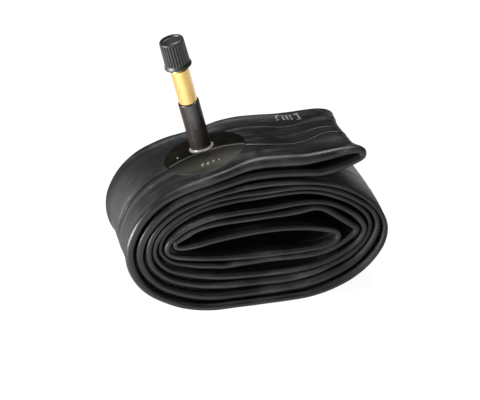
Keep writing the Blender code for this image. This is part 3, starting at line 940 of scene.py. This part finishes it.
def butyl_colour(tree, place, streak, cloud, mark):
    """The colour, with painted shade in the grooves and a painted reflection over the right
    shoulder; how much talc lies there; and how deep in a groove it is.
    """
    x, y, z = place
    fleck = noise_at(mapped(tree, "UV", FLECK_SCALE), 1.0, 5, 0.7)
    talc_and_sheen = product(remap(streak, 0.47, 0.74), remap(cloud, 0.40, 0.66),
                   remap(fleck, 0.40, 0.60, 0.55, 1.35))
    # painted shade: the groove in front of a moulded line is darkened towards black
    hollow = remap(mark, -0.15, -0.55)
    line = product(remap(mark, 0.25, 1.0, 0.0, LINE_TALC), remap(cloud, 0.3, 0.6, 0.25, 1.0))
    talc_and_sheen = math_node("MAXIMUM", talc_and_sheen, line)
    # painted reflection: pale streaky colour over the right shoulder, standing in for a
    # reflection of the floor
    painted_reflection = product(remap(x, *PAINTED_REFLECTION_X), remap(y, *PAINTED_REFLECTION_Y), remap(z, *PAINTED_REFLECTION_Z),
                   remap(streak, 0.3, 0.6, 0.55, 1.0))
    colour = mixed_colour(remap(cloud, 0.3, 0.7), BUTYL_DARK, BUTYL_LIGHT)
    colour = mixed_colour(talc_and_sheen, colour, TALC_COLOUR)
    colour = mixed_colour(painted_reflection, colour, PAINTED_REFLECTION_COLOUR)
    return mixed_colour(hollow, colour, GROOVE_SHADE_COLOUR), talc_and_sheen, hollow


def butyl_gloss(tree, place, hollow):
    """The specular level: less seen edge on, at the rear edge and inside the roll."""
    x, y, z = place
    facing = add_node(tree, "LayerWeight").outputs["Facing"]
    aside = math_node("DIVIDE", x, INNER_HALF_WIDTH)
    above = math_node("SUBTRACT", z, INNER_MIDDLE)
    above = math_node("DIVIDE", above, INNER_HALF_HEIGHT)
    ellipse = math_node("ADD", product(aside, aside), product(above, above))
    inside = product(remap(ellipse, 1.0, 0.7), remap(y, *INNER_Y))
    return product(remap(facing, *GLOSS_FACING, SQUARE_GLOSS, EDGE_GLOSS),
                   remap(hollow, 0.0, 1.0, 1.0, GROOVE_GLOSS),
                   remap(y, *REAR_Y, 1.0, REAR_GLOSS),
                   remap(inside, 0.0, 1.0, 1.0, INNER_GLOSS))


def butyl_material():
    """Black butyl: faint talc, fine lengthwise grain, mottling, a duller right side, painted
    shade in the grooves and a painted reflection over the right shoulder.
    """
    made, tree, shader = new_material("butyl_rubber")
    grain = noise_at(mapped(tree, "UV", GRAIN_SCALE), 1.0, 5)
    streak = noise_at(mapped(tree, "UV", STREAK_SCALE), 1.0, 6, 0.62)
    cloud = noise_at(mapped(tree, "Object", CLOUD_SCALE), 1.0, 4, 0.5)
    mark = add_node(tree, "Attribute", attribute_name="moulded_line").outputs["Fac"]
    place = split(mapped(tree, "Object"))
    colour, talc_and_sheen, hollow = butyl_colour(tree, place, streak, cloud, mark)
    feed(colour, shader, "Base Color")
    matt = product(remap(place[0], *MATT_X), remap(place[2], *MATT_Z))
    rough = math_node("ADD", remap(cloud, 0.3, 0.7, *BUTYL_ROUGH), product(talc_and_sheen, TALC_ROUGH))
    rough = math_node("ADD", rough, product(matt, MATT_ROUGH))
    feed(rough, shader, "Roughness")
    feed(BUTYL_SPECULAR, shader, GLOSS)
    feed(butyl_gloss(tree, place, hollow), shader, GLOSS)
    height = math_node("ADD", product(grain, 0.5), product(streak, 0.5))
    bump(shader, height, 0.35, 0.0002)
    return made


# ---------------- other materials
def simple_rubber(name, dark, light, rough, grain_scale, depth):
    """Moulded rubber or plastic with mottled colour, uneven gloss and a fine grain."""
    made, tree, shader = new_material(name)
    place = mapped(tree, "Object")
    cloud = noise_at(place, 150, 4)
    grain = noise_at(place, grain_scale, 3)
    feed(mixed_colour(remap(cloud, 0.3, 0.7), dark, light), shader, "Base Color")
    feed(remap(cloud, 0.35, 0.7, *rough), shader, "Roughness")
    bump(shader, grain, 0.4, depth)
    return made


def metal(name, dark, light, rough, turning_scale):
    """Turned metal: rings of fine tool marks round the stem's axis, and faint stains."""
    made, tree, shader = new_material(name)
    feed(1.0, shader, "Metallic")
    marks = noise_at(mapped(tree, "UV", (30, turning_scale, 1)), 1.0, 3)
    stain = noise_at(mapped(tree, "Object"), 260, 5)
    feed(mixed_colour(remap(stain, 0.35, 0.75), light, dark), shader, "Base Color")
    feed(remap(marks, 0.3, 0.7, *rough), shader, "Roughness")
    bump(shader, marks, 0.3, 0.00005)
    return made


PATCH_DARK = (0.0024, 0.0031, 0.0017)
PATCH_LIGHT = (0.0068, 0.0054, 0.0040)
PATCH_STAIN = (0.0080, 0.0056, 0.0045)
PATCH_SHEEN_COLOUR = (0.047, 0.047, 0.038)
PATCH_FRONT = (-0.003, -0.015)  # where the painted sheen grows, from rear to front


def patch_material():
    """Olive black rubber: brown mottling, and a painted sheen that makes its front half
    paler.
    """
    made, tree, shader = new_material("patch_rubber")
    place = mapped(tree, "Object")
    cloud = noise_at(place, 150, 4)
    smear = noise_at(mapped(tree, "Object", (60, 200, 60)), 1.0, 5)
    grain = noise_at(place, 2500, 3)
    stain = noise_at(place, 95, 3)
    front = remap(split(place)[1], *PATCH_FRONT)
    # painted sheen: the front half is mixed towards a pale colour, as if lit
    talc_and_sheen = product(front, remap(smear, 0.3, 0.6, 0.25, 1.0))
    base = mixed_colour(remap(cloud, 0.35, 0.65), PATCH_DARK, PATCH_LIGHT)
    base = mixed_colour(remap(stain, 0.50, 0.66), base, PATCH_STAIN)
    feed(mixed_colour(talc_and_sheen, base, PATCH_SHEEN_COLOUR), shader, "Base Color")
    feed(remap(cloud, 0.35, 0.7, 0.32, 0.44), shader, "Roughness")
    feed(0.10, shader, GLOSS)
    feed(remap(front, 0.0, 1.0, 0.03, 0.12), shader, GLOSS)
    bump(shader, grain, 0.4, 0.00003)
    return made


STEM_DARK = (0.014, 0.012, 0.0103)
STEM_LIGHT = (0.0275, 0.0215, 0.019)
FOOT_HIGHLIGHT_COLOUR = (0.24, 0.22, 0.205)
FOOT_HIGHLIGHT_FROM = (0.2, 0.7)    # the painted highlight ring's soft edges, in mm below the fillet's top
FOOT_HIGHLIGHT_TO = (1.3, 1.9)


def stem_material():
    """Brownish rubber, glossier where it is seen square on, with a painted highlight: a pale
    ring on the foot's fillet.
    """
    made, tree, shader = new_material("stem_rubber")
    place = mapped(tree, "Object")
    cloud = noise_at(place, 150, 4)
    grain = noise_at(place, 2200, 3)
    base = mixed_colour(remap(cloud, 0.3, 0.7), STEM_DARK, STEM_LIGHT)
    down = split(mapped(tree, "UV"))[1]
    foot = (COVER_TOP - FILLET) * MM
    start = [foot + edge * MM for edge in FOOT_HIGHLIGHT_FROM]
    end = [foot + edge * MM for edge in FOOT_HIGHLIGHT_TO]
    # painted highlight: a pale ring round the fillet where the cover meets the pad
    wear_and_highlight = product(remap(down, *start), remap(down, *end, 1.0, 0.0),
                   remap(cloud, 0.3, 0.55, 0.5, 1.0))
    feed(mixed_colour(wear_and_highlight, base, FOOT_HIGHLIGHT_COLOUR), shader, "Base Color")
    polish = remap(down, foot - 1.0 * MM, foot, 1.0, 0.7)
    rough = product(polish, remap(cloud, 0.35, 0.7, 0.24, 0.34))
    feed(rough, shader, "Roughness")
    facing = add_node(tree, "LayerWeight").outputs["Facing"]
    feed(0.5, shader, GLOSS)
    feed(remap(facing, 0.06, 0.36, 1.0, 0.12), shader, GLOSS)
    bump(shader, grain, 0.4, 0.00004)
    return made


def all_materials():
    """One material for each slot of the record."""
    return {
        "butyl": butyl_material(),
        "patch_rubber": patch_material(),
        "stem_rubber": stem_material(),
        "cap_plastic": simple_rubber("cap_plastic", (0.011, 0.011, 0.010),
                                     (0.020, 0.020, 0.018), (0.32, 0.44), 3200, 0.00004),
        "seal_rubber": simple_rubber("seal_rubber", (0.25, 0.05, 0.03), (0.34, 0.08, 0.05),
                                     (0.5, 0.65), 2600, 0.00004),
        "nylon": simple_rubber("core_nylon", (0.66, 0.63, 0.55), (0.76, 0.73, 0.66),
                               (0.4, 0.5), 2600, 0.00003),
        "brass": metal("turned_brass", (0.66, 0.44, 0.15), (0.80, 0.56, 0.22),
                       (0.24, 0.36), 9000),
        "spring_steel": metal("spring_steel", (0.42, 0.42, 0.42), (0.62, 0.62, 0.63),
                              (0.25, 0.36), 4000),
    }


def ink_material():
    """White ink, worn through in small patches."""
    made, tree, shader = new_material("worn_ink")
    wear_and_highlight = noise_at(mapped(tree, "UV", (900, 900, 1)), 1.0, 4)
    tone = remap(wear_and_highlight, 0.36, 0.55)
    feed(mixed_colour(tone, (0.02, 0.02, 0.02), (0.19, 0.19, 0.20)), shader, "Base Color")
    feed(0.6, shader, "Roughness")
    bump(shader, wear_and_highlight, 0.3, 0.00003)
    return made


def finish_piece(obj, slot, material, body, *replaced):
    """Gives a piece its material and body, and hides the CAD node that it replaces. The slot
    is not used.
    """
    obj.data.materials.clear()
    obj.data.materials.append(material)
    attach(obj, body)
    if replaced:
        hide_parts(*replaced)


# ---------------- camera, floor, light
CAMERA_TURN = 15.0        # degrees that it stands to the left of the front
CAMERA_HEIGHT = 27.0      # and above the level
CAMERA_DISTANCE = 530.6
CAMERA_LENS = 97.5
CAMERA_SENSOR = 36.0
LOOK_AT = Vector((-ROLL_CENTRE_X, -TUBE_WIDTH / 2, 51.27))
FLOOR_SIZE = 3.0          # metres each way
FLOOR_GREY = 0.12
FLOOR_GLOW = 0.93
GLOW_X = (0.06, -0.10)    # where it glows more, to the left and in front
GLOW_Y = (0.0, -0.10)
# Area lights: place, aim and size in metres, and watts.
LIGHTS = {
    "softbox_left": ((-0.42, -0.10, 0.062), (0, 0, 0.04), (0.25, 0.12), 3.9),
    "softbox_top": ((0.05, 0.12, 0.85), (0, 0, 0.04), (0.5, 0.35), 7.4),
}


def add_camera():
    turn, height = math.radians(CAMERA_TURN), math.radians(CAMERA_HEIGHT)
    ahead = Vector((math.sin(turn) * math.cos(height), math.cos(turn) * math.cos(height),
                    -math.sin(height)))
    data = bpy.data.cameras.new("camera")
    data.lens = CAMERA_LENS
    data.sensor_width = CAMERA_SENSOR
    data.clip_start = 0.01
    made = linked_object("camera", data)
    made.location = (LOOK_AT - ahead * CAMERA_DISTANCE) * MM
    made.rotation_euler = ahead.to_track_quat("-Z", "Y").to_euler()
    bpy.context.scene.camera = made


def add_floor():
    """A white floor that glows a little, and more in front to the left."""
    size = FLOOR_SIZE
    mesh = bpy.data.meshes.new("floor")
    corners = [(-size, -size, 0), (size, -size, 0), (size, size, 0), (-size, size, 0)]
    mesh.from_pydata(corners, [], [(0, 1, 2, 3)])
    floor = linked_object("floor", mesh)
    made, tree, shader = new_material("floor_white")
    feed((FLOOR_GREY, FLOOR_GREY, FLOOR_GREY), shader, "Base Color")
    feed(0.9, shader, "Roughness")
    feed(0.0, shader, GLOSS)
    feed((1, 1, 1), shader, "Emission Color")
    x, y, _ = split(mapped(tree, "Object"))
    glow = product(remap(x, *GLOW_X), remap(y, *GLOW_Y))
    glow = math_node("ADD", glow, FLOOR_GLOW)
    feed(glow, shader, "Emission Strength")
    mesh.materials.append(made)


def add_light(name, place, aim, size, power):
    data = bpy.data.lights.new(name, "AREA")
    data.shape = "RECTANGLE"
    data.size, data.size_y = size
    data.energy = power
    made = linked_object(name, data)
    made.location = place
    direction = Vector(aim) - Vector(place)
    made.rotation_euler = direction.to_track_quat("-Z", "Y").to_euler()


def add_world():
    """A dark studio: bright overhead, a pale wall low down behind to the left, and a dim
    glow low down in front, mostly to the left."""
    world = bpy.data.worlds.new("studio")
    bpy.context.scene.world = world
    world.use_nodes = True
    tree = world.node_tree
    shade = tree.nodes["Background"]
    x, y, z = split(add_node(tree, "TexCoord").outputs["Generated"])
    wall = product(remap(z, 0.22, 0.46, 0.45, 0.0), remap(x, 0.05, -0.25), remap(y, 0.2, 0.6))
    overhead = remap(z, 0.45, 0.95, 0.04, 0.5)
    front = product(remap(z, 0.15, 0.60, 0.5, 0.0), remap(y, 0.0, -0.4),
                    remap(x, 0.2, -0.6, 0.2, 1.0))
    level = math_node("MAXIMUM", wall, math_node("MAXIMUM", front, overhead))
    feed(level, shade, "Strength")
    feed((1, 1, 1), shade, "Color")


def main():
    slots = all_materials()
    skin = build_ring(ring_path())
    skin_surface = surface_of(skin)
    pad = build_pad(skin_surface)
    pad_surface = surface_of(pad)
    finish_piece(skin, "butyl", slots["butyl"], "tube", "tube")
    finish_piece(build_print(skin_surface), "butyl", ink_material(), "tube")
    finish_piece(pad, "patch_rubber", slots["patch_rubber"], "tube", "valve_pad")
    # the dots' pale colour: partly wear, partly a painted highlight on their tops
    wear_and_highlight = simple_rubber("dots_wear_and_highlight", (0.07, 0.07, 0.06), (0.14, 0.14, 0.12), (0.3, 0.4),
                         2500, 0.00003)
    dusty = simple_rubber("dusty_seam", (0.012, 0.012, 0.010), (0.045, 0.045, 0.036),
                          (0.5, 0.6), 2500, 0.00003)
    finish_piece(build_dots(pad_surface), "patch_rubber", wear_and_highlight, "tube")
    finish_piece(build_seam(pad_surface), "patch_rubber", dusty, "tube")
    turned_pieces = [
        (build_cover(pad_surface), "stem_rubber", "tube", "stem_cover"),
        (build_insert(), "brass", "tube", "stem_insert"),
        (build_cap(), "cap_plastic", "cap", "valve_cap"),
        (build_seal(), "seal_rubber", "cap_lift", "cap_seal"),
    ]
    for piece, slot, body, node in turned_pieces + build_core():
        finish_piece(piece, slot, slots[slot], body, node)
    spring = frame["nodes"]["core_spring"]
    spring.data.materials.clear()
    spring.data.materials.append(slots["spring_steel"])
    add_camera()
    add_floor()
    add_world()
    for name, settings in LIGHTS.items():
        add_light(name, *settings)
    bpy.context.scene.view_settings.view_transform = "Standard"


main()
